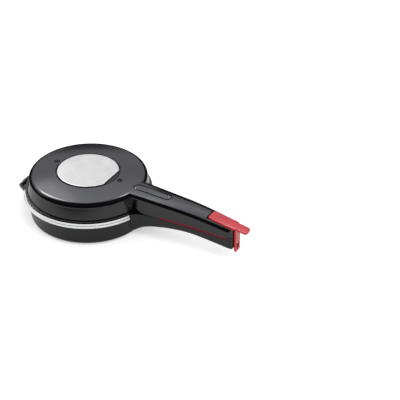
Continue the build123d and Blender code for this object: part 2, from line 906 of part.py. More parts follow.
# Disc thermostat against the middle of the plate, its two blades pointing down
with BuildPart() as thermostat:
    add(peg(0.0, 0.0, thermostat_radius, lower_back - thermostat_height, lower_back))
    with BuildSketch(Plane.XY.offset(lower_back - thermostat_ear_thickness)):
        SlotOverall(2 * thermostat_ear, thermostat_ear_width)
    extrude(amount=thermostat_ear_thickness)
    with BuildSketch(Plane.XZ):
        with Locations((0, lower_back - thermostat_height / 2)):
            Rectangle(blade_width, blade_thickness)
    extrude(amount=thermostat_radius + blade_length, both=True)
keep("thermostat", thermostat.part)

with BuildPart() as thermal_fuse:
    with BuildSketch(Plane.YZ):
        with Locations((-fuse_y, lower_back - fuse_radius - seat_gap)):
            Circle(fuse_radius)
    extrude(amount=fuse_length / 2, both=True)
    with BuildSketch(Plane.YZ):
        with Locations((-fuse_y, lower_back - fuse_radius - seat_gap)):
            Circle(fuse_lead_radius)
    extrude(amount=fuse_length, both=True)
keep("thermal_fuse", thermal_fuse.part)

with BuildPart() as terminal_block:
    middle_z = floor_top + terminal_block_height / 2
    with Locations((terminal_block_x, 0, middle_z)):
        Box(terminal_block_width, terminal_block_length, terminal_block_height)
    chamfer(terminal_block.edges().filter_by(Axis.Y), length=terminal_chamfer)
    with BuildSketch(Plane.YZ.offset(terminal_block_x)):
        with Locations((0, middle_z)):
            with GridLocations(terminal_pitch, 1, 3, 1):
                Circle(terminal_bore_radius)
    extrude(amount=terminal_block_width, both=True, mode=Mode.SUBTRACT)
    with BuildSketch(Plane.XY.offset(middle_z)):
        with Locations((terminal_block_x, 0)):
            with GridLocations(terminal_block_width / 2, terminal_pitch, 2, 3):
                Circle(terminal_screw_radius)
    extrude(amount=terminal_block_height, mode=Mode.SUBTRACT)
keep("terminal_block", terminal_block.part)

# Rubber bush in the cord boss, snapped in behind its inner face
with BuildPart() as cord_bush:
    with BuildSketch(upright_plane(inlet_angle, inlet_boss_back - bush_snap, inlet_z)):
        Circle(bush_snap_radius)
    extrude(amount=bush_snap)
    with BuildSketch(upright_plane(inlet_angle, inlet_boss_back, inlet_z)):
        Circle(bush_neck_radius)
    extrude(amount=inlet_boss_face - inlet_boss_back)
    with BuildSketch(upright_plane(inlet_angle, inlet_boss_face, inlet_z)):
        Circle(bush_flange_radius)
    extrude(amount=bush_flange)
    with BuildSketch(upright_plane(inlet_angle, 0, inlet_z)):
        Circle(bush_bore_radius)
    extrude(amount=2 * inlet_boss_face, mode=Mode.SUBTRACT)
keep("cord_bush", cord_bush.part)

# Red cover that closes the lower half of the handle and shows as a line along its side
with BuildPart() as handle_cover:
    add(bow_band(0.0, cover_thickness, cover_start_x, cover_end_x, far_across))
    with BuildSketch():
        add(grip_plan(cover_start_x, cover_end_x, cover_inset, cover_end_round))
    extrude(amount=far_above, mode=Mode.INTERSECT)
    for x in cover_screw_xs:
        seat_z = bow_z(x, cover_thickness) - small_head_height - seat_gap
        add(peg(x, 0.0, small_head_radius + moulded_gap, seat_z, far_above), mode=Mode.SUBTRACT)
        add(peg(x, 0.0, small_screw_radius + screw_clearance, 0.0, far_above), mode=Mode.SUBTRACT)
keep("handle_cover", handle_cover.part)

with BuildPart() as handle_cover_screws:
    for x in cover_screw_xs:
        seat_z = bow_z(x, cover_thickness) - small_head_height - seat_gap
        with Locations((x, 0, 0)):
            add(screw(
                small_screw_radius,
                seat_z,
                seat_z - bow_z(x, 0.0) + small_thread,
                small_head_radius,
                small_head_height,
            ))
keep("handle_cover_screws", handle_cover_screws.part)

# Hinge pin with a head at one end and a groove for its clip at the other
with BuildPart() as hinge_pin:
    add(cross_peg(hinge_x, hinge_z, hinge_pin_radius, -hinge_half, hinge_half + pin_end))
    add(cross_peg(hinge_x, hinge_z, pin_head_radius, -hinge_half - pin_head, -hinge_half))
    groove_outer = hinge_half + seat_gap + clip_thickness + seat_gap
    with BuildSketch(Plane.XZ.offset(-hinge_half)):
        with Locations((hinge_x, hinge_z)):
            Circle(2 * hinge_pin_radius)
            Circle(clip_groove_radius, mode=Mode.SUBTRACT)
    extrude(amount=hinge_half - groove_outer, mode=Mode.SUBTRACT)
keep("hinge_pin", hinge_pin.part)

with BuildPart() as hinge_pin_clip:
    with BuildSketch(Plane.XZ.offset(-hinge_half - seat_gap)):
        with Locations((hinge_x, hinge_z)):
            Circle(clip_radius)
            Circle(clip_groove_radius + seat_gap, mode=Mode.SUBTRACT)
        with Locations((hinge_x, hinge_z - clip_radius)):
            Rectangle(2 * clip_groove_radius, 2 * clip_radius, mode=Mode.SUBTRACT)
    extrude(amount=-clip_thickness)
keep("hinge_pin_clip", hinge_pin_clip.part)

# Hollow of the upper half of the handle, round the bosses that take the liner's screws
with BuildPart() as upper_hollow:
    add(upper_grip(grip_wall, lid_bottom - upper_lift))
    add(slab(cavity_start_x, cavity_end_x, 0.0, far_above), mode=Mode.INTERSECT)
    add(slab(0.0, liner_start_x, 0.0, lid_ledge_z), mode=Mode.SUBTRACT)
    for x in liner_screw_xs:
        boss_bottom = bow_z(x, upper_lift + liner_thickness) + seat_gap
        add(peg(x, 0.0, small_boss_radius, boss_bottom, far_above), mode=Mode.SUBTRACT)

# Lid shell: crown, wall, thin flange, upper half of the handle and hinge arm in one moulding
with BuildPart() as lid_shell:
    with BuildSketch(Plane.XZ) as lid_profile:
        with BuildLine():
            crown = TangentArc((0, lid_top), (shoulder_radius, shoulder_z), tangent=(1, 0))
            TangentArc((shoulder_radius, shoulder_z), (lid_radius, wall_top_z), tangent=crown % 1)
            Polyline(
                (lid_radius, wall_top_z),
                (lid_radius + lid_flare, flange_top),
                (flange_radius, flange_top),
                (flange_radius, lid_bottom),
                (0, lid_bottom),
                (0, lid_top),
            )
        make_face()
        fillet(lid_profile.vertices().sort_by_distance((flange_radius, 0, flange_top))[0], radius=flange_round)
    revolve(axis=Axis.Z)
    add(upper_grip_solid)
    add(grip_trim, mode=Mode.SUBTRACT)
    add(above_cover, mode=Mode.SUBTRACT)
    add(slab(0.0, cover_start_x - parting_gap, 0.0, lid_bottom), mode=Mode.SUBTRACT)
    with BuildSketch(Plane.XZ):
        with Locations((hinge_x, hinge_z)):
            Circle(knuckle_radius)
        with BuildLine():
            Polyline(
                (hinge_x - knuckle_radius, hinge_z),
                (-flange_radius, flange_top),
                (-lid_radius, flange_top),
                (-lid_radius, lid_bottom),
                (hinge_x + knuckle_radius, lid_bottom),
                (hinge_x + knuckle_radius, hinge_z),
                close=True,
            )
        make_face()
    extrude(amount=knuckle_half, both=True)
    with BuildSketch(Plane.XZ):
        with Locations(Location((hinge_x, hinge_z, 0), (0, 0, stop_angle))):
            with Locations((stop_reach / 2, 0)):
                Rectangle(stop_reach, stop_width)
    extrude(amount=stop_half, both=True)
    add(turned([
        (0, 0),
        (upper_recess_radius, 0),
        (upper_recess_radius, lid_ledge_z),
        (lid_radius - lid_wall, lid_ledge_z),
        (lid_radius - lid_wall, wall_top_z - lid_wall / 2),
        (shoulder_radius - lid_wall / 2, shoulder_z - lid_wall),
        (badge_recess_radius + lid_wall, lid_skin_z),
        (0, lid_skin_z),
    ]), mode=Mode.SUBTRACT)
    add(upper_hollow.part, mode=Mode.SUBTRACT)
    for x, y in screw_places:
        add(peg(x, y, post_radius, lid_post_end, lid_well_floor))
        add(peg(x, y, well_radius, lid_well_floor, far_above), mode=Mode.SUBTRACT)
        add(peg(x, y, screw_radius + screw_clearance, 0.0, far_above), mode=Mode.SUBTRACT)
    add(peg(0.0, 0.0, badge_recess_radius, badge_floor, far_above), mode=Mode.SUBTRACT)
    with BuildSketch(Plane.XY.offset(badge_floor)):
        Circle(badge_recess_radius)
        Circle(badge_radius, mode=Mode.SUBTRACT)
    extrude(amount=-badge_groove_depth, mode=Mode.SUBTRACT)
    with BuildSketch(Plane.XY.offset(pilot_cut_z)):
        add(pilot_plan(0.0))
    extrude(amount=far_above, mode=Mode.SUBTRACT)
    for x in liner_screw_xs:
        hole_bottom = bow_z(x, upper_lift + liner_thickness)
        hole_top = hole_bottom + small_thread + 1
        add(peg(x, 0.0, small_screw_radius + press_gap, hole_bottom, hole_top), mode=Mode.SUBTRACT)
    with BuildSketch(Plane.XZ):
        with BuildLine():
            Polyline(
                (latch_start_x - pocket_end_gap, pocket_floor_z),
                (pivot_x, pocket_floor_z),
                (latch_tip_x, latch_under(latch_tip_x) - sill_gap),
                (latch_tip_x, far_above),
                (latch_start_x - pocket_end_gap, far_above),
                close=True,
            )
        make_face()
    extrude(amount=latch_width / 2 + pocket_side_gap, both=True, mode=Mode.SUBTRACT)
    with BuildSketch(Plane.XZ):
        with BuildLine():
            Polyline(
                (pivot_x - well_reach, pivot_z - lug_radius - moulded_gap),
                (pivot_x + well_reach, pivot_z - lug_radius - moulded_gap),
                (pivot_x + well_reach, crest_line(pivot_x)),
                (pivot_x - well_reach, crest_line(pivot_x)),
                close=True,
            )
        make_face()
    extrude(amount=lug_half + pocket_side_gap, both=True, mode=Mode.SUBTRACT)
    add(
        cross_peg(pivot_x, pivot_z, latch_pin_radius + press_gap, -latch_pin_half - seat_gap, far_across),
        mode=Mode.SUBTRACT,
    )
    add(cross_peg(hinge_x, hinge_z, hinge_pin_radius + running_gap, -far_across, far_across), mode=Mode.SUBTRACT)
keep("lid_shell", lid_shell.part)

# Round badge with a chord cut towards the handle, flat on the floor of its recess
with BuildPart() as lid_badge:
    with BuildSketch(Plane.XY.offset(badge_floor)):
        Circle(badge_radius)
        with Locations((badge_chord + badge_radius, 0)):
            Rectangle(2 * badge_radius, 2 * badge_radius, mode=Mode.SUBTRACT)
    extrude(amount=badge_thickness)
    chamfer(lid_badge.faces().sort_by(Axis.Z)[-1].edges(), length=badge_edge)
keep("lid_badge", lid_badge.part)

with BuildPart() as lid_screws:
    with Locations(*screw_places):
        add(screw(screw_radius, lid_well_floor, lid_screw_reach, head_radius, head_height))
keep("lid_screws", lid_screws.part)

# Clear window of the pilot light, with a flange under the handle's skin
with BuildPart() as pilot_window:
    add(upper_grip(-pilot_proud, lid_bottom))
    add(upper_grip(pilot_skin, lid_bottom - 1), mode=Mode.SUBTRACT)
    with BuildSketch(Plane.XY.offset(pilot_cut_z)):
        add(pilot_plan(-pilot_gap))
    extrude(amount=far_above, mode=Mode.INTERSECT)
with BuildPart() as pilot_flange_ring:
    add(upper_grip(pilot_skin, lid_bottom))
    add(upper_grip(pilot_skin + pilot_flange_thickness, lid_bottom - 1), mode=Mode.SUBTRACT)
    with BuildSketch(Plane.XY.offset(pilot_cut_z)):
        add(pilot_plan(pilot_flange))
    extrude(amount=far_above, mode=Mode.INTERSECT)
keep("pilot_window", pilot_window.part + pilot_flange_ring.part)

with BuildPart() as pilot_lamps:
    for x in lamp_xs:
        with BuildSketch(Plane.YZ.offset(x - lamp_length / 2)):
            with Locations((0, lamp_z)):
                Circle(lamp_radius)
        extrude(amount=lamp_length)
    fillet(pilot_lamps.edges().filter_by(GeomType.CIRCLE), radius=lamp_radius / 2)
keep("pilot_lamps", pilot_lamps.part)

# Bracket that carries the lamps under the window
with BuildPart() as lamp_holder:
    with BuildSketch(Plane.XZ):
        with BuildLine():
            Polyline(
                (holder_start_x, far_above),
                (holder_start_x + holder_leg, far_above),
                (holder_start_x + holder_leg, lamp_z - lamp_radius),
                (holder_end_x - holder_leg, lamp_z - lamp_radius),
                (holder_end_x - holder_leg, far_above),
                (holder_end_x, far_above),
                (holder_end_x, lamp_z - lamp_radius - holder_thickness),
                (holder_start_x, lamp_z - lamp_radius - holder_thickness),
                close=True,
            )
        make_face()
    extrude(amount=holder_width / 2, both=True)
    add(upper_grip(pilot_skin + pilot_flange_thickness, lid_bottom), mode=Mode.INTERSECT)
keep("lamp_holder", lamp_holder.part)

# Upper cooking plate: a shallow dish facing down, with ribs and bosses on its back
with BuildPart() as upper_plate:
    add(turned([
        (0, upper_dish),
        (dish_floor_radius - dish_round, upper_dish),
        (dish_floor_radius, upper_dish - dish_round / 2),
        (dish_radius, upper_land),
        (upper_plate_radius, upper_land),
        (upper_plate_radius, lid_ledge_z),
        (dish_radius + land_thickness, lid_ledge_z),
        (dish_floor_radius + plate_thickness, upper_back - dish_round / 2),
        (dish_floor_radius, upper_back),
        (0, upper_back),
    ]))
    add(plate_ribs(upper_back, upper_back + rib_height))
    for x, y in screw_places:
        add(peg(x, y, boss_radius, upper_back, upper_boss_end))
        hole_bottom = upper_boss_end - thread_length - seat_gap
        add(peg(x, y, screw_radius + press_gap, hole_bottom, far_above), mode=Mode.SUBTRACT)
keep("upper_plate", upper_plate.part)

upper_element = element(upper_element_z, 1)
keep("upper_element", upper_element)

upper_reflector = reflector(upper_boss_end, -1, screw_places)
keep("upper_reflector", upper_reflector)

# Liner that closes the upper half of the handle, screwed up into its bosses
with BuildPart() as handle_liner:
    low = upper_lift
    add(bow_band(low, low + liner_thickness, liner_start_x, cavity_end_x, far_across))
    with BuildSketch():
        add(grip_plan(liner_start_x + seat_gap, cavity_end_x - seat_gap, grip_wall + 2 * moulded_gap, 0.0))
    extrude(amount=far_above, mode=Mode.INTERSECT)
    for x in liner_screw_xs:
        seat_z = bow_z(x, upper_lift) + small_head_height + seat_gap
        add(peg(x, 0.0, small_head_radius + moulded_gap, 0.0, seat_z), mode=Mode.SUBTRACT)
        add(peg(x, 0.0, small_screw_radius + screw_clearance, 0.0, far_above), mode=Mode.SUBTRACT)
keep("handle_liner", handle_liner.part)

with BuildPart() as handle_liner_screws:
    for x in liner_screw_xs:
        seat_z = bow_z(x, upper_lift) + small_head_height + seat_gap
        reach = liner_thickness - small_head_height + small_thread
        with Locations(Location((x, 0, 2 * seat_z), (180, 0, 0))):
            add(screw(small_screw_radius, seat_z, reach, small_head_radius, small_head_height))
keep("handle_liner_screws", handle_liner_screws.part)

with BuildPart() as latch_pin:
    add(cross_peg(pivot_x, pivot_z, latch_pin_radius, -latch_pin_half, latch_pin_half + latch_pin_extra))
keep("latch_pin", latch_pin.part)

# Leaf spring under the inner end of the latch lever
with BuildPart() as latch_spring:
    with BuildSketch(Plane.XZ):
        with BuildLine():
            Polyline(
                (spring_foot_x, pocket_floor_z),
                (spring_end_x, pocket_floor_z),
                (spring_start_x, latch_under(spring_start_x) - seat_gap - spring_strip),
                (spring_start_x, latch_under(spring_start_x) - seat_gap),
                (spring_end_x, pocket_floor_z + spring_strip),
                (spring_foot_x, pocket_floor_z + spring_strip),
                close=True,
            )
        make_face()
    extrude(amount=spring_width / 2, both=True)
keep("latch_spring", latch_spring.part)

# Latch lever: inlaid plate and tongue, two lugs on the pin, and a leg with a window for the nose
with BuildPart() as latch_lever:
    with BuildSketch() as latch_plan:
        with BuildLine():
            Polyline(
                (latch_start_x, latch_width / 2),
                (latch_step_x, latch_width / 2),
                (latch_step_x + latch_step, tongue_width / 2),
                (latch_tip_x, tongue_width / 2),
                (latch_tip_x, -tongue_width / 2),
                (latch_step_x + latch_step, -tongue_width / 2),
                (latch_step_x, -latch_width / 2),
                (latch_start_x, -latch_width / 2),
                close=True,
            )
        make_face()
        corners = latch_plan.vertices().group_by(Axis.X)
        fillet(corners[0] + corners[-1], radius=latch_corner)
    extrude(amount=far_above)
    with BuildSketch(Plane.XZ):
        with BuildLine():
            Polyline(
                (latch_start_x - 1, latch_under(latch_start_x - 1)),
                (latch_tip_x + 1, latch_under(latch_tip_x + 1)),
                (latch_tip_x + 1, latch_under(latch_tip_x + 1) + latch_thickness),
                (latch_start_x - 1, latch_under(latch_start_x - 1) + latch_thickness),
                close=True,
            )
        make_face()
    extrude(amount=far_across, both=True, mode=Mode.INTERSECT)
    chamfer(latch_lever.faces().sort_by(Axis.Z)[-1].edges(), length=latch_edge)
    for side in (1, -1):
        with BuildSketch(Plane.XZ.offset(side * (lug_half - lug_width / 2))):
            with Locations((pivot_x, pivot_z)):
                Circle(lug_radius)
            with BuildLine():
                Polyline(
                    (pivot_x - lug_radius, pivot_z),
                    (pivot_x - lug_radius, latch_under(pivot_x) + latch_thickness / 2),
                    (pivot_x + lug_radius, latch_under(pivot_x) + latch_thickness / 2),
                    (pivot_x + lug_radius, pivot_z),
                    close=True,
                )
            make_face()
        extrude(amount=lug_width / 2, both=True)
    with BuildSketch(Plane.XZ):
        with BuildLine():
            Polyline(
                (leg_x, leg_tip_z + leg_tip_lead),
                (leg_x, latch_under(leg_x) + latch_thickness / 2),
                (leg_x + leg_thickness, latch_under(leg_x + leg_thickness) + latch_thickness / 2),
                (leg_x + leg_thickness, leg_tip_z),
                (leg_x + leg_thickness - leg_tip_edge, leg_tip_z),
                close=True,
            )
        make_face()
    extrude(amount=leg_width / 2, both=True)
    with BuildSketch(Plane.YZ.offset(leg_x)):
        with Locations((0, window_bottom_z + window_height / 2)):
            Rectangle(window_width, window_height)
    extrude(amount=2 * leg_thickness, both=True, mode=Mode.SUBTRACT)
    add(cross_peg(pivot_x, pivot_z, latch_pin_radius + running_gap, -far_across, far_across), mode=Mode.SUBTRACT)
keep("latch_lever", latch_lever.part)
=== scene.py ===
"""Hamburger maker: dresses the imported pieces, sets the camera, the floor and soft studio light.

Lengths are in metres and the frame is the model's own: the origin lies on the worktop under
the middle of the round head, +X runs along the handle and +Z is up.
"""
import logging
import math
from dataclasses import dataclass, field
from enum import Enum
from typing import Callable

import bpy
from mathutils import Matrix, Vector


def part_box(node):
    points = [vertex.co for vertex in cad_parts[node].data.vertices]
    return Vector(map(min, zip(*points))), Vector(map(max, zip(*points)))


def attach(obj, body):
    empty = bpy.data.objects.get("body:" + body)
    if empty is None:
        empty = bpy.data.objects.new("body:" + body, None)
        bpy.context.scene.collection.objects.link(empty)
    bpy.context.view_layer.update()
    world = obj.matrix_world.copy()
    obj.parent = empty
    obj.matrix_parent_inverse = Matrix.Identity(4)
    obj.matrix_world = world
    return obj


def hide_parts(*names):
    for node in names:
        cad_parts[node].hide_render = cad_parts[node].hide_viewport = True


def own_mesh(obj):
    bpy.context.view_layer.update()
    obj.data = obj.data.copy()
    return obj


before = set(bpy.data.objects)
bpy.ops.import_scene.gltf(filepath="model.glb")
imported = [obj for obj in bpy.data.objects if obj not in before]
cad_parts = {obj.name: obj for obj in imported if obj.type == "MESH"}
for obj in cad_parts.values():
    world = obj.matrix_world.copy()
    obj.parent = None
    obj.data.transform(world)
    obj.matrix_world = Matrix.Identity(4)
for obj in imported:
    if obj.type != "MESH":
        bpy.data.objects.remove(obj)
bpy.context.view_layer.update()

LOG = logging.getLogger("hamburger_maker")
MM = 0.001

Span = tuple[float, float]
Triple = tuple[float, float, float]
Colour = tuple[float, float, float, float]
Tree = bpy.types.NodeTree
Socket = bpy.types.NodeSocket
Settings = dict[str | int, object]
Links = dict[str | int, Socket]

WHITE: Colour = (1.0, 1.0, 1.0, 1.0)

# The sockets of a Mix node share their names, so they go by number
FACTOR, FIRST_VALUE, SECOND_VALUE, FIRST_COLOUR, SECOND_COLOUR = 0, 2, 3, 6, 7
MIXED_VALUE, MIXED_COLOUR = 0, 2

# One noise draws a finish's slow clouds of tone, and a second its fine grain
CLOUD_NOISE: Settings = {"Scale": 1.0, "Detail": 3.0, "Roughness": 0.55}
GRAIN_NOISE: Settings = {"Scale": 1.0, "Detail": 2.0, "Roughness": 0.6}
# Clouds times grain, from all first tone to all second tone
TONE_CHANGE: Span = (0.1, 0.45)
LEAST_ROUGHNESS = 0.02
# The matt floor's colour, darker than its finish: painted shade in a recess
MATT_SHADE_TONE = "#040405"
MATT_ROUGHNESS = 0.7
EDGE_SAMPLES = 4

# Corners closer than this are one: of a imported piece's loose triangles, and of a finished piece
CAD_WELD_MM = 0.002
WELD_MM = 0.01
# The angles between two faces that tell a flat, a sharp and a smooth edge
FLAT_BELOW = math.radians(1)
SHARP_ABOVE = math.radians(32)
SMOOTH_BELOW = math.radians(35)
# A face looks up where its normal's Z is above this
FACES_UP = 0.9


def linear(code: str) -> Colour:
    """Turn an sRGB hex colour into linear light.

    Args:
        code: A # and six hex digits.

    Returns:
        The linear red, green and blue, and an opacity of 1.
    """
    channels = [int(code[i:i + 2], 16) / 255 for i in (1, 3, 5)]
    red, green, blue = [
        c / 12.92 if c <= 0.04045 else ((c + 0.055) / 1.055) ** 2.4 for c in channels
    ]
    return (red, green, blue, 1.0)


def per_metre(size_mm: float) -> float:
    """Turn the size of one grain in millimetres into grains per metre."""
    return 1 / (size_mm * MM)


def add_node(
    tree: Tree,
    kind: str,
    settings: Settings | None = None,
    links: Links | None = None,
) -> bpy.types.Node:
    """Add one shader node.

    Args:
        tree: The node tree that gets it.
        kind: The node's type name, such as ShaderNodeTexNoise.
        settings: Socket values by input name or number, and plain properties by a name after a dot.
        links: Sockets to join to its inputs, by input name or number.

    Returns:
        The new node.
    """
    made = tree.nodes.new(kind)
    for name, value in (settings or {}).items():
        if str(name).startswith("."):
            setattr(made, name[1:], value)
        else:
            made.inputs[name].default_value = value
    for name, socket in (links or {}).items():
        tree.links.new(socket, made.inputs[name])
    return made


def object_pattern(tree: Tree, scale: Triple) -> Socket:
    """Give the object coordinates, stretched along each axis.

    Args:
        tree: The node tree that gets the nodes.
        scale: Patterns per metre along X, Y and Z.

    Returns:
        The stretched coordinates.
    """
    place = add_node(tree, "ShaderNodeTexCoord")
    mapping = add_node(
        tree, "ShaderNodeMapping", {"Scale": scale}, {"Vector": place.outputs["Object"]}
    )
    return mapping.outputs["Vector"]


def round_the_axis(tree: Tree) -> tuple[Socket, Socket]:
    """Give how far each point of a piece is from the Z axis, and how high it is.

    Args:
        tree: The node tree that gets the nodes.

    Returns:
        The distance and the height.
    """
    place = add_node(tree, "ShaderNodeTexCoord")
    split = add_node(tree, "ShaderNodeSeparateXYZ", links={"Vector": place.outputs["Object"]})
    flat = add_node(
        tree, "ShaderNodeCombineXYZ", links={"X": split.outputs["X"], "Y": split.outputs["Y"]}
    )
    distance = add_node(
        tree, "ShaderNodeVectorMath", {".operation": "LENGTH"}, {"Vector": flat.outputs[0]}
    )
    return distance.outputs["Value"], split.outputs["Z"]


class Grain(Enum):
    """How a surface's fine pattern lies."""

    EVEN = "even"
    ALONG_X = "along x"
    ALONG_Y = "along y"
    ROUND = "round z"


@dataclass(frozen=True)
class Finish:
    """A real material with the surface that its making leaves.

    The colour and the roughness wander in slow clouds, and a fine grain breaks the colour and
    raises the surface, so that nothing is one flat colour. A grain that is finer than 0.5 mm on
    the real thing is drawn at 0.5 mm or more, so that it shows. The edge is how far a sharp edge
    looks rounded. The matt radius and level, where given, bound a matt floor round the Z axis;
    its darker colour there is painted shade in the recess.
    """

    name: str
    tone: str
    second_tone: str
    roughness: float
    roughness_spread: float = 0.06
    metallic: float = 0.0
    ior: float = 1.5
    grain: Grain = Grain.EVEN
    grain_mm: float = 1.2
    cloud_mm: float = 25.0
    relief_mm: float = 0.004
    stretch: float = 24.0
    coat: float = 0.0
    coat_roughness: float = 0.05
    transmission: float = 0.0
    specular: float = 0.5
    edge_mm: float = 0.0
    matt_shade_radius_mm: float = 0.0
    matt_shade_below_mm: float = 0.0

    def material(self) -> bpy.types.Material:
        """Build the material, or find it if it was built before.

        Returns:
            The material.
        """
        known = bpy.data.materials.get(self.name)
        if known is not None:
            return known
        made = bpy.data.materials.new(self.name)
        made.use_nodes = True
        tree = made.node_tree
        shader = tree.nodes["Principled BSDF"]
        for socket, value in {
            "Metallic": self.metallic,
            "IOR": self.ior,
            "Coat Weight": self.coat,
            "Coat Roughness": self.coat_roughness,
            "Transmission Weight": self.transmission,
            "Specular IOR Level": self.specular,
        }.items():
            shader.inputs[socket].default_value = value
        grain = self.grain_socket(tree)
        cloud = add_node(
            tree,
            "ShaderNodeTexNoise",
            CLOUD_NOISE,
            {"Vector": object_pattern(tree, (per_metre(self.cloud_mm),) * 3)},
        ).outputs["Fac"]
        colour = self.colour_socket(tree, cloud, grain)
        roughness = self.roughness_socket(tree, cloud)
        if self.matt_shade_radius_mm > 0:
            matt = self.matt_and_shade_socket(tree)
            # Painted shade: the matt floor inside the badge's seat takes this darker colour
            colour = add_node(
                tree,
                "ShaderNodeMix",
                {".data_type": "RGBA", SECOND_COLOUR: linear(MATT_SHADE_TONE)},
                {FACTOR: matt, FIRST_COLOUR: colour},
            ).outputs[MIXED_COLOUR]
            roughness = add_node(
                tree,
                "ShaderNodeMix",
                {SECOND_VALUE: MATT_ROUGHNESS},
                {FACTOR: matt, FIRST_VALUE: roughness},
            ).outputs[MIXED_VALUE]
        for name, socket in {
            "Base Color": colour,
            "Roughness": roughness,
            "Normal": self.normal_socket(tree, grain),
        }.items():
            tree.links.new(socket, shader.inputs[name])
        return made

    def colour_socket(self, tree: Tree, cloud: Socket, grain: Socket) -> Socket:
        """Blend the two tones where clouds and grain meet.

        Args:
            tree: The material's node tree.
            cloud: The slow clouds of tone, from 0 to 1.
            grain: The fine grain, from 0 to 1.

        Returns:
            The colour.
        """
        clouded = add_node(
            tree, "ShaderNodeMath", {".operation": "MULTIPLY"}, {0: cloud, 1: grain}
        )
        change = add_node(
            tree,
            "ShaderNodeMapRange",
            {"From Min": TONE_CHANGE[0], "From Max": TONE_CHANGE[1]},
            {"Value": clouded.outputs[0]},
        )
        return add_node(
            tree,
            "ShaderNodeMix",
            {
                ".data_type": "RGBA",
                FIRST_COLOUR: linear(self.tone),
                SECOND_COLOUR: linear(self.second_tone),
            },
            {FACTOR: change.outputs["Result"]},
        ).outputs[MIXED_COLOUR]

    def roughness_socket(self, tree: Tree, cloud: Socket) -> Socket:
        """Let the roughness wander with the clouds.

        Args:
            tree: The material's node tree.
            cloud: The slow clouds of tone, from 0 to 1.

        Returns:
            The roughness.
        """
        return add_node(
            tree,
            "ShaderNodeMapRange",
            {
                "To Min": max(self.roughness - self.roughness_spread, LEAST_ROUGHNESS),
                "To Max": self.roughness + self.roughness_spread,
            },
            {"Value": cloud},
        ).outputs["Result"]

    def normal_socket(self, tree: Tree, grain: Socket) -> Socket:
        """Raise the grain a little, and round the sharp edges to the light.

        Args:
            tree: The material's node tree.
            grain: The fine grain, from 0 to 1.

        Returns:
            The normal.
        """
        relief = add_node(
            tree,
            "ShaderNodeBump",
            {"Strength": 1.0, "Distance": self.relief_mm * MM},
            {"Height": grain},
        )
        if self.edge_mm > 0:
            edge = add_node(
                tree, "ShaderNodeBevel", {".samples": EDGE_SAMPLES, "Radius": self.edge_mm * MM}
            )
            tree.links.new(edge.outputs["Normal"], relief.inputs["Normal"])
        return relief.outputs["Normal"]

    def matt_and_shade_socket(self, tree: Tree) -> Socket:
        """Find the matt floor, which also takes the painted shade, inside its radius and below its
        level.

        Args:
            tree: The material's node tree.

        Returns:
            1 on the matt floor and 0 elsewhere.
        """
        distance, height = round_the_axis(tree)
        inside, below = [
            add_node(
                tree, "ShaderNodeMath", {".operation": "LESS_THAN", 1: limit_mm * MM}, {0: socket}
            )
            for socket, limit_mm in (
                (distance, self.matt_shade_radius_mm),
                (height, self.matt_shade_below_mm),
            )
        ]
        both = add_node(
            tree,
            "ShaderNodeMath",
            {".operation": "MULTIPLY"},
            {0: inside.outputs[0], 1: below.outputs[0]},
        )
        return both.outputs[0]

    def grain_socket(self, tree: Tree) -> Socket:
        """Draw the fine pattern of the surface.

        Args:
            tree: The material's node tree.

        Returns:
            A value from 0 to 1.
        """
        fine = per_metre(self.grain_mm)
        long = fine / self.stretch
        scale = {
            Grain.ALONG_X: (long, fine, fine),
            Grain.ALONG_Y: (fine, long, fine),
        }.get(self.grain, (fine, fine, fine))
        if self.grain is Grain.ROUND:
            distance, height = round_the_axis(tree)
            rings = add_node(tree, "ShaderNodeCombineXYZ", links={"X": distance, "Z": height})
            vector = add_node(
                tree, "ShaderNodeMapping", {"Scale": scale}, {"Vector": rings.outputs[0]}
            ).outputs["Vector"]
        else:
            vector = object_pattern(tree, scale)
        return add_node(tree, "ShaderNodeTexNoise", GRAIN_NOISE, {"Vector": vector}).outputs["Fac"]


# Polished black ABS: a deep, clear mirror, but matt on the floor of the badge's seat,
# whose darker colour there is painted shade in the recess
LID_BLACK = Finish(
    "polished_black_lid", "#070709", "#0c0c0f", 0.14, 0.035, cloud_mm=40, grain_mm=2.4,
    relief_mm=0.002, ior=1.55, edge_mm=0.35, matt_shade_radius_mm=43.9, matt_shade_below_mm=67.7,
)
# The base came from a mould with a finer, less shiny skin, so it mirrors less
BASE_BLACK = Finish(
    "satin_black_moulding", "#08090a", "#0e0f10", 0.17, 0.04, cloud_mm=40, grain_mm=2.0,
    relief_mm=0.003, specular=0.38, edge_mm=0.35,
)
# The same plastic from an unpolished mould, inside the shells: dull, with a fine spark texture
MATT_BLACK = Finish(
    "matt_black_moulding", "#1b1c1e", "#26272a", 0.5, 0.08, grain_mm=0.8, relief_mm=0.02,
)
# Dyed ABS, the lever and its leg: an even red under a satin skin
RED_ABS = Finish(
    "satin_red_abs", "#b81a26", "#c62730", 0.3, 0.06, cloud_mm=9, grain_mm=1.0, relief_mm=0.006,
)
# Dark dyed ABS, the handle's cover: a deep red line between the black halves
CRIMSON_ABS = Finish(
    "satin_crimson_abs", "#5c0a20", "#6a1028", 0.36, 0.05, cloud_mm=9, grain_mm=1.0,
    specular=0.25,
)
# Brushed and lacquered aluminium: lines one way under a clear coat. Real brush lines lie about
# 0.1 mm apart and are drawn at 0.5 mm
BRUSHED_ALUMINIUM = Finish(
    "brushed_lacquered_aluminium", "#b4b3b0", "#c2c1bd", 0.34, 0.05, metallic=1.0,
    grain=Grain.ALONG_Y, grain_mm=0.5, relief_mm=0.006, stretch=60, coat=0.2, cloud_mm=18,
    edge_mm=0.2,
)
# Rolled and polished stainless strip: bright, with faint lines round the ring
BRIGHT_STEEL = Finish(
    "polished_stainless_strip", "#e4e5e6", "#f0f0f0", 0.2, 0.05, metallic=1.0,
    grain=Grain.ROUND, grain_mm=0.5, relief_mm=0.004, cloud_mm=30,
)
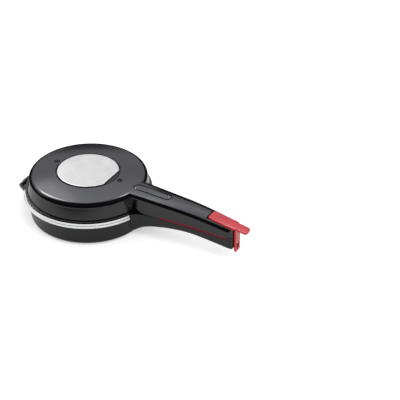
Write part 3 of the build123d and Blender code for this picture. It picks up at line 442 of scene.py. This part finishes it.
# Turned steel under bright zinc: pale grey with a slightly cloudy shine
ZINC_STEEL = Finish(
    "bright_zinc_steel", "#a9abae", "#c6c7c9", 0.3, 0.08, metallic=1.0, cloud_mm=3,
    grain_mm=0.5, relief_mm=0.006,
)
# Screws with a black oxide: dull grey in their deep wells
BLACKENED_STEEL = Finish(
    "black_oxide_steel", "#2c2d2f", "#3c3d40", 0.38, 0.08, metallic=1.0, cloud_mm=3,
    grain_mm=0.5, relief_mm=0.006,
)
# Cold-rolled strip: bright, with faint lines along its length
SPRING_STEEL = Finish(
    "rolled_spring_steel", "#b0b2b5", "#cfd0d2", 0.24, 0.06, metallic=1.0, grain=Grain.ALONG_X,
)
# Cast aluminium under sprayed non-stick: dark, with the spray's fine pebble
NON_STICK = Finish(
    "sprayed_non_stick", "#222326", "#2e2f33", 0.42, 0.07, grain_mm=0.7, relief_mm=0.03,
    cloud_mm=14, edge_mm=0.5,
)
# Steel tube that its own heat has dulled to a warm brown grey
SHEATH = Finish(
    "heat_dulled_steel_sheath", "#5a5550", "#6c675f", 0.48, 0.1, metallic=1.0, cloud_mm=6,
)
# Rolled aluminium sheet that throws the heat back: a soft mirror with lines one way
REFLECTOR = Finish(
    "bright_aluminium_sheet", "#c9cbce", "#dadbdd", 0.28, 0.07, metallic=1.0,
    grain=Grain.ALONG_X, grain_mm=0.6, cloud_mm=22,
)
# Glazed steatite: a warm off-white with a low shine
CERAMIC = Finish("glazed_steatite", "#d9d4c8", "#e4e0d6", 0.35, 0.08, cloud_mm=5, grain_mm=0.7)
# Moulded rubber: dull black with a fine pebble
RUBBER = Finish(
    "moulded_black_rubber", "#151515", "#202020", 0.62, 0.08, grain_mm=0.7, relief_mm=0.03,
)
# Smoked polycarbonate: dark grey and polished, so that the unlit lamps hardly show behind it
SMOKED = Finish(
    "smoked_polycarbonate", "#2c2c2f", "#37373a", 0.1, 0.03, ior=1.58, cloud_mm=20,
    grain_mm=3.0, relief_mm=0.001, transmission=0.35,
)
# The glass of unlit neon lamps: clear, with an orange cast
LAMP_GLASS = Finish(
    "neon_lamp_glass", "#e8a070", "#f0b080", 0.06, 0.02, transmission=0.8, cloud_mm=4,
    relief_mm=0.001,
)


def select_faces(
    piece: bpy.types.Object, wanted: Callable[[bpy.types.MeshPolygon], bool]
) -> None:
    """Select only the faces of a piece that pass a test, and enter edit mode.

    Args:
        piece: The piece, which is the active object.
        wanted: The test, given one face in the piece's own place.
    """
    bpy.ops.object.mode_set(mode="EDIT")
    bpy.ops.mesh.select_mode(type="FACE")
    bpy.ops.mesh.select_all(action="DESELECT")
    bpy.ops.object.mode_set(mode="OBJECT")
    for face in piece.data.polygons:
        face.select = wanted(face)
    bpy.ops.object.mode_set(mode="EDIT")


def start_piece(name: str) -> bpy.types.Object:
    """Name the primitive that was just added, and settle its place in its mesh.

    Args:
        name: The piece's name.

    Returns:
        The piece, selected and active.
    """
    piece = bpy.context.object
    piece.name = name
    piece.data.name = name
    bpy.ops.object.transform_apply(location=True, rotation=True, scale=True)
    return piece


def merged_copy(node: str, name: str) -> bpy.types.Object:
    """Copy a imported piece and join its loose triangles.

    Args:
        node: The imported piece.
        name: The copy's name.

    Returns:
        The copy, selected and active.
    """
    piece = bpy.data.objects.new(name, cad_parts[node].data.copy())
    piece.data.name = name
    bpy.context.scene.collection.objects.link(piece)
    bpy.ops.object.select_all(action="DESELECT")
    bpy.context.view_layer.objects.active = piece
    piece.select_set(True)
    bpy.ops.object.mode_set(mode="EDIT")
    bpy.ops.mesh.select_all(action="SELECT")
    bpy.ops.mesh.remove_doubles(threshold=CAD_WELD_MM * MM)
    bpy.ops.mesh.dissolve_limited(angle_limit=FLAT_BELOW)
    bpy.ops.object.mode_set(mode="OBJECT")
    return piece


def soften(piece: bpy.types.Object, width_mm: float, segments: int) -> None:
    """Round the sharp edges of a piece.

    Args:
        piece: The piece, which is the active object.
        width_mm: How wide the rounding is.
        segments: How many faces it has.
    """
    bevel = piece.modifiers.new("bevel", "BEVEL")
    bevel.width = width_mm * MM
    bevel.segments = segments
    bevel.limit_method = "ANGLE"
    bevel.angle_limit = SHARP_ABOVE
    bpy.ops.object.modifier_apply(modifier=bevel.name)


def put_on(piece: bpy.types.Object, finish: Finish) -> None:
    """Give a piece one finish all over."""
    piece.data.materials.clear()
    piece.data.materials.append(finish.material())


@dataclass
class SubAssembly:
    """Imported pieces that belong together, with the finish of each."""

    finishes: dict[str, Finish]

    def dress(self) -> None:
        """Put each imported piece's finish in its material slot."""
        for name, finish in self.finishes.items():
            put_on(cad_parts[name], finish)
            LOG.info("%s is %s", name, finish.name)

    def build(self) -> None:
        """Model the new pieces; most sub-assemblies have none."""

    def close_piece(self, piece: bpy.types.Object, body: str, slot: str, replaced: str) -> None:
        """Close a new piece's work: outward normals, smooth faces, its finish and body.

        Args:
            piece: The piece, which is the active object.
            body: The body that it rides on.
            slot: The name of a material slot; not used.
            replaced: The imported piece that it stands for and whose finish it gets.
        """
        bpy.ops.object.mode_set(mode="EDIT")
        bpy.ops.mesh.select_all(action="SELECT")
        bpy.ops.mesh.remove_doubles(threshold=WELD_MM * MM)
        bpy.ops.mesh.normals_make_consistent(inside=False)
        bpy.ops.object.mode_set(mode="OBJECT")
        bpy.ops.object.shade_smooth_by_angle(angle=SMOOTH_BELOW)
        put_on(piece, self.finishes[replaced])
        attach(piece, body)
        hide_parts(replaced)
        piece.select_set(False)
        LOG.info("%s is built and rides on %s", piece.name, body)


@dataclass
class Head(SubAssembly):
    """The round head: both shells, the bright ring, the badge and its two screws."""

    finishes: dict[str, Finish] = field(default_factory=lambda: {
        "base_shell": BASE_BLACK,
        "lid_shell": LID_BLACK,
        "rim_ring": BRIGHT_STEEL,
        "rubber_feet": RUBBER,
        "base_screws": ZINC_STEEL,
        "lid_badge": BRUSHED_ALUMINIUM,
        "lid_screws": BLACKENED_STEEL,
    })
    badge_sides: int = 160
    badge_edge_mm: float = 0.5
    badge_edge_faces: int = 3

    def build(self) -> None:
        """Model the badge as a disc with a rolled edge and a straight side."""
        low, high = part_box("lid_badge")
        radius = (high[1] - low[1]) / 2
        bpy.ops.object.select_all(action="DESELECT")
        bpy.ops.mesh.primitive_circle_add(
            vertices=self.badge_sides, radius=radius, fill_type="NGON", location=(0, 0, low[2])
        )
        badge = start_piece("badge_disc")
        bpy.ops.object.mode_set(mode="EDIT")
        bpy.ops.mesh.select_all(action="SELECT")
        bpy.ops.mesh.bisect(
            plane_co=(high[0], 0, 0), plane_no=(1, 0, 0), clear_outer=True, use_fill=False
        )
        bpy.ops.mesh.select_all(action="SELECT")
        bpy.ops.mesh.extrude_region_move(
            TRANSFORM_OT_translate={"value": (0, 0, high[2] - low[2])}
        )
        bpy.ops.object.mode_set(mode="OBJECT")
        soften(badge, self.badge_edge_mm, self.badge_edge_faces)
        select_faces(badge, lambda face: face.normal.z > FACES_UP and face.area > radius**2)
        bpy.ops.mesh.inset(thickness=2 * self.badge_edge_mm * MM)
        bpy.ops.object.mode_set(mode="OBJECT")
        self.close_piece(badge, "lid", "badge_metal", "lid_badge")


@dataclass
class Heating(SubAssembly):
    """The two cooking plates with all that warms and guards them."""

    finishes: dict[str, Finish] = field(default_factory=lambda: {
        "lower_plate": NON_STICK,
        "upper_plate": NON_STICK,
        "lower_element": SHEATH,
        "upper_element": SHEATH,
        "lower_reflector": REFLECTOR,
        "upper_reflector": REFLECTOR,
        "thermostat": CERAMIC,
        "thermal_fuse": ZINC_STEEL,
        "terminal_block": CERAMIC,
        "cord_bush": RUBBER,
    })


@dataclass
class Hinge(SubAssembly):
    """The pin that the lid turns on, and the clip at its end."""

    finishes: dict[str, Finish] = field(default_factory=lambda: {
        "hinge_pin": ZINC_STEEL,
        "hinge_pin_clip": SPRING_STEEL,
    })


@dataclass
class Handle(SubAssembly):
    """The red cover, the liner, their screws and the pilot light in the handle's root."""

    finishes: dict[str, Finish] = field(default_factory=lambda: {
        "handle_cover": CRIMSON_ABS,
        "handle_cover_screws": ZINC_STEEL,
        "handle_liner": MATT_BLACK,
        "handle_liner_screws": ZINC_STEEL,
        "pilot_window": SMOKED,
        "pilot_lamps": LAMP_GLASS,
        "lamp_holder": MATT_BLACK,
    })
    window_slope_mm: float = 1.3
    window_slope_drop_mm: float = 0.55
    window_half_mm: float = 5.8
    window_round_mm: float = 0.25
    window_round_faces: int = 2

    def build(self) -> None:
        """Give the pilot window its sloped, polished edge."""
        low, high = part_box("pilot_window")
        # The flange's round ends are centred half its width in from its tips
        ends = (low[0] - low[1], high[0] - high[1])

        def on_top(face: bpy.types.MeshPolygon) -> bool:
            """Tell whether a face lies on the window's upper side and not on its flange."""
            past_end = max(ends[0] - face.center.x, face.center.x - ends[1], 0)
            from_line = math.hypot(past_end, face.center.y)
            return face.normal.z > FACES_UP and from_line < self.window_half_mm * MM

        window = merged_copy("pilot_window", "pilot_lens")
        select_faces(window, on_top)
        drop = self.window_slope_drop_mm * MM
        bpy.ops.transform.translate(value=(0, 0, -drop))
        bpy.ops.mesh.inset(thickness=self.window_slope_mm * MM, depth=drop)
        bpy.ops.object.mode_set(mode="OBJECT")
        soften(window, self.window_round_mm, self.window_round_faces)
        self.close_piece(window, "lid", "smoked_window", "pilot_window")


@dataclass
class Latch(SubAssembly):
    """The red lever with its pin and spring."""

    finishes: dict[str, Finish] = field(default_factory=lambda: {
        "latch_lever": RED_ABS,
        "latch_pin": ZINC_STEEL,
        "latch_spring": SPRING_STEEL,
    })
    lever_round_mm: float = 0.45
    lever_round_faces: int = 3
    spring_round_mm: float = 0.08
    spring_round_faces: int = 2
    spring_kept: float = 0.2

    def build(self) -> None:
        """Give the lever a moulded piece's soft edges, and the leaf spring its own softened mesh.
        """
        lever = merged_copy("latch_lever", "latch_lever_moulding")
        soften(lever, self.lever_round_mm, self.lever_round_faces)
        self.close_piece(lever, "latch", "red_plastic", "latch_lever")
        spring = merged_copy("latch_spring", "latch_leaf_spring")
        soften(spring, self.spring_round_mm, self.spring_round_faces)
        self.close_piece(spring, "lid", "spring_steel", "latch_spring")
        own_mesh(spring)


class Light(Enum):
    """What a lamp is for."""

    HIGHLIGHT = "seen only in the gloss"
    FILL = "adds only plain light"


@dataclass(frozen=True)
class Softbox:
    """A rectangular soft lamp: where it hangs, its size and its power in watts."""

    name: str
    place: Triple
    width: float
    height: float
    watts: float
    light: Light = Light.HIGHLIGHT

    def hang(self, aim: Triple) -> None:
        """Hang the lamp so that it faces a point.

        Args:
            aim: The point.
        """
        data = bpy.data.lights.new(self.name, "AREA")
        data.shape = "RECTANGLE"
        data.size = self.width
        data.size_y = self.height
        data.energy = self.watts
        lamp = bpy.data.objects.new(self.name, data)
        bpy.context.scene.collection.objects.link(lamp)
        lamp.location = self.place
        toward = Vector(aim) - Vector(self.place)
        lamp.rotation_euler = toward.to_track_quat("-Z", "Y").to_euler()
        lamp.visible_diffuse = self.light is Light.FILL
        lamp.visible_glossy = self.light is Light.HIGHLIGHT


@dataclass
class Studio:
    """The floor, the light and the camera round the object.

    Polished black shows little but what it mirrors, so the gloss sees a room of its own: a
    bright one beyond and above the object, with a dark near side and a dark horizon.
    """

    # The floor, its glow to the eye and its glow in the gloss
    floor_half: float = 6.0
    floor_tone: str = "#f2f2f2"
    floor_roughness: float = 0.9
    floor_lift: float = 0.45
    mirrored_lift: float = 0.06
    # The gloss sees the floor lit inside an ellipse, up to a line beyond the object
    lit_centre: Triple = (0.05, 0.0, 0.0)
    lit_radii: Span = (0.38, 0.29)
    lit_edge: Span = (0.9, 1.2)
    lit_up_to: Span = (-0.16, -0.08)
    # The room in the gloss: its tone, its levels and the way to its near side
    card_tone: str = "#f6f7ff"
    far_level: float = 1.02
    overhead_rise: float = 2.1
    near_level: float = 0.01
    horizon_level: float = 0.03
    near_side: Triple = (0.559, -0.829, 0.25)
    # Where the levels change, toward the near side and upward, as parts of a unit length
    side_change: Span = (-0.25, 0.15)
    horizon_change: Span = (0.35, 0.39)
    overhead_change: Span = (0.54, 0.72)
    # The plain light
    ambient: float = 0.8
    softboxes: tuple[Softbox, ...] = (
        Softbox("key_softbox", (-1.5, 0.75, 2.0), 1.0, 0.5, 17.0),
        Softbox("key_halo", (-1.6, 0.8, 2.1), 1.7, 1.2, 10.0),
        Softbox("shoulder_glint", (0.2, 1.25, 2.05), 0.45, 0.3, 6.0),
        Softbox("fill_softbox", (1.7, -1.0, 2.4), 1.6, 1.6, 28.0, Light.FILL),
    )
    lamps_aim: Triple = (0.06, 0.0, 0.04)
    camera_place: Triple = (0.9858, -1.4616, 1.1663)
    camera_forward: Triple = (-0.4075, 0.7319, -0.5461)
    lens_mm: float = 138.8
    sensor_mm: float = 36.0

    def build(self) -> None:
        """Make the floor, the world, the lamps and the camera."""
        self.build_floor()
        self.build_world()
        for softbox in self.softboxes:
            softbox.hang(self.lamps_aim)
        self.build_camera()
        bpy.context.scene.view_settings.view_transform = "Standard"

    def build_floor(self) -> None:
        """Lay a pale floor under the object."""
        bpy.ops.mesh.primitive_plane_add(size=2 * self.floor_half, location=(0, 0, 0))
        floor = bpy.context.object
        floor.name = "floor"
        floor.data.materials.append(self.floor_material())

    def floor_material(self) -> bpy.types.Material:
        """Make the floor white to the eye, duller in the gloss, and dark there further out.

        Returns:
            The material.
        """
        material = bpy.data.materials.new("white_paper_floor")
        material.use_nodes = True
        tree = material.node_tree
        shader = tree.nodes["Principled BSDF"]
        shader.inputs["Base Color"].default_value = linear(self.floor_tone)
        shader.inputs["Roughness"].default_value = self.floor_roughness
        shader.inputs["Specular IOR Level"].default_value = 0.0
        path = add_node(tree, "ShaderNodeLightPath")
        in_gloss = path.outputs["Is Glossy Ray"]
        to_eye = add_node(
            tree,
            "ShaderNodeMath",
            {".operation": "MULTIPLY", 1: self.floor_lift},
            {0: path.outputs["Is Camera Ray"]},
        )
        lift = add_node(
            tree,
            "ShaderNodeMath",
            {".operation": "MULTIPLY_ADD", 1: self.mirrored_lift},
            {0: in_gloss, 2: to_eye.outputs[0]},
        )
        glow = add_node(
            tree, "ShaderNodeEmission", {"Color": WHITE}, {"Strength": lift.outputs[0]}
        )
        lit = add_node(
            tree, "ShaderNodeAddShader", links={0: shader.outputs[0], 1: glow.outputs[0]}
        )
        dark = add_node(
            tree, "ShaderNodeEmission", {"Color": WHITE, "Strength": self.near_level}
        )
        outside = add_node(
            tree,
            "ShaderNodeMath",
            {".operation": "MAXIMUM"},
            {0: self.behind_object(tree), 1: self.away_from_object(tree)},
        )
        darkened = add_node(
            tree,
            "ShaderNodeMath",
            {".operation": "MULTIPLY"},
            {0: in_gloss, 1: outside.outputs[0]},
        )
        surface = add_node(
            tree,
            "ShaderNodeMixShader",
            links={0: darkened.outputs[0], 1: lit.outputs[0], 2: dark.outputs[0]},
        )
        tree.links.new(surface.outputs[0], tree.nodes["Material Output"].inputs["Surface"])
        return material

    def behind_object(self, tree: Tree) -> Socket:
        """Find the floor beyond the object, with a soft change.

        Args:
            tree: The floor's node tree.

        Returns:
            1 beyond the object and 0 on the near side.
        """
        place = add_node(tree, "ShaderNodeTexCoord")
        nearer = add_node(
            tree,
            "ShaderNodeVectorMath",
            {".operation": "DOT_PRODUCT", 1: Vector((*self.near_side[:2], 0)).normalized()},
            {0: place.outputs["Object"]},
        )
        return add_node(
            tree,
            "ShaderNodeMapRange",
            {
                ".interpolation_type": "SMOOTHSTEP",
                "From Min": self.lit_up_to[0],
                "From Max": self.lit_up_to[1],
                "To Min": 1.0,
                "To Max": 0.0,
            },
            {"Value": nearer.outputs["Value"]},
        ).outputs["Result"]

    def away_from_object(self, tree: Tree) -> Socket:
        """Find the floor outside the lit ellipse, with a soft change.

        Args:
            tree: The floor's node tree.

        Returns:
            1 outside the ellipse and 0 inside it.
        """
        place = add_node(tree, "ShaderNodeTexCoord")
        scaled = add_node(
            tree,
            "ShaderNodeMapping",
            {
                ".vector_type": "TEXTURE",
                "Location": self.lit_centre,
                "Scale": (*self.lit_radii, 1),
            },
            {"Vector": place.outputs["Object"]},
        )
        away = add_node(
            tree, "ShaderNodeVectorMath", {".operation": "LENGTH"}, {0: scaled.outputs["Vector"]}
        )
        return add_node(
            tree,
            "ShaderNodeMapRange",
            {
                ".interpolation_type": "SMOOTHSTEP",
                "From Min": self.lit_edge[0],
                "From Max": self.lit_edge[1],
            },
            {"Value": away.outputs["Value"]},
        ).outputs["Result"]

    def build_world(self) -> None:
        """Set even plain light, the room in the gloss and a white background to the eye."""
        world = bpy.data.worlds.new("white_studio")
        bpy.context.scene.world = world
        world.use_nodes = True
        tree = world.node_tree
        tree.nodes.clear()
        level = self.room_level(tree)
        even = add_node(
            tree, "ShaderNodeBackground", {"Color": WHITE, "Strength": self.ambient}
        )
        cards = add_node(
            tree, "ShaderNodeBackground", {"Color": linear(self.card_tone)}, {"Strength": level}
        )
        white = add_node(tree, "ShaderNodeBackground", {"Color": WHITE, "Strength": 1.0})
        path = add_node(tree, "ShaderNodeLightPath")
        seen = even
        for ray, background in (("Is Glossy Ray", cards), ("Is Camera Ray", white)):
            seen = add_node(
                tree,
                "ShaderNodeMixShader",
                links={0: path.outputs[ray], 1: seen.outputs[0], 2: background.outputs[0]},
            )
        add_node(tree, "ShaderNodeOutputWorld", links={"Surface": seen.outputs[0]})

    def room_level(self, tree: Tree) -> Socket:
        """Shade the room in the gloss: by side, dark below its horizon and brighter overhead.

        Args:
            tree: The world's node tree.

        Returns:
            How bright the room is in each direction.
        """
        place = add_node(tree, "ShaderNodeTexCoord")
        nearer = add_node(
            tree,
            "ShaderNodeVectorMath",
            {".operation": "DOT_PRODUCT", 1: Vector(self.near_side).normalized()},
            {0: place.outputs["Generated"]},
        )
        side = add_node(
            tree,
            "ShaderNodeMapRange",
            {
                ".interpolation_type": "SMOOTHSTEP",
                "From Min": self.side_change[0],
                "From Max": self.side_change[1],
                "To Min": self.far_level,
                "To Max": self.near_level,
            },
            {"Value": nearer.outputs["Value"]},
        )
        split = add_node(
            tree, "ShaderNodeSeparateXYZ", links={"Vector": place.outputs["Generated"]}
        )
        horizon = add_node(
            tree,
            "ShaderNodeMapRange",
            {
                ".interpolation_type": "SMOOTHSTEP",
                "From Min": self.horizon_change[0],
                "From Max": self.horizon_change[1],
                "To Min": self.horizon_level,
                "To Max": 1.0,
            },
            {"Value": split.outputs["Z"]},
        )
        overhead = add_node(
            tree,
            "ShaderNodeMapRange",
            {
                "From Min": self.overhead_change[0],
                "From Max": self.overhead_change[1],
                "To Min": 1.0,
                "To Max": self.overhead_rise,
            },
            {"Value": split.outputs["Z"]},
        )
        level = side.outputs["Result"]
        for factor in (horizon, overhead):
            level = add_node(
                tree,
                "ShaderNodeMath",
                {".operation": "MULTIPLY"},
                {0: level, 1: factor.outputs["Result"]},
            ).outputs[0]
        return level

    def build_camera(self) -> None:
        """Stand the camera where the photograph was taken from."""
        data = bpy.data.cameras.new("camera")
        data.lens = self.lens_mm
        data.sensor_width = self.sensor_mm
        camera = bpy.data.objects.new("camera", data)
        bpy.context.scene.collection.objects.link(camera)
        camera.location = self.camera_place
        camera.rotation_euler = Vector(self.camera_forward).to_track_quat("-Z", "Y").to_euler()
        bpy.context.scene.camera = camera


def main() -> None:
    """Build the studio and each sub-assembly."""
    logging.basicConfig(level=logging.INFO, format="%(message)s")
    bpy.ops.object.select_all(action="DESELECT")
    Studio().build()
    for assembly in (Head(), Heating(), Hinge(), Handle(), Latch()):
        assembly.dress()
        assembly.build()


if __name__ == "__main__":
    main()
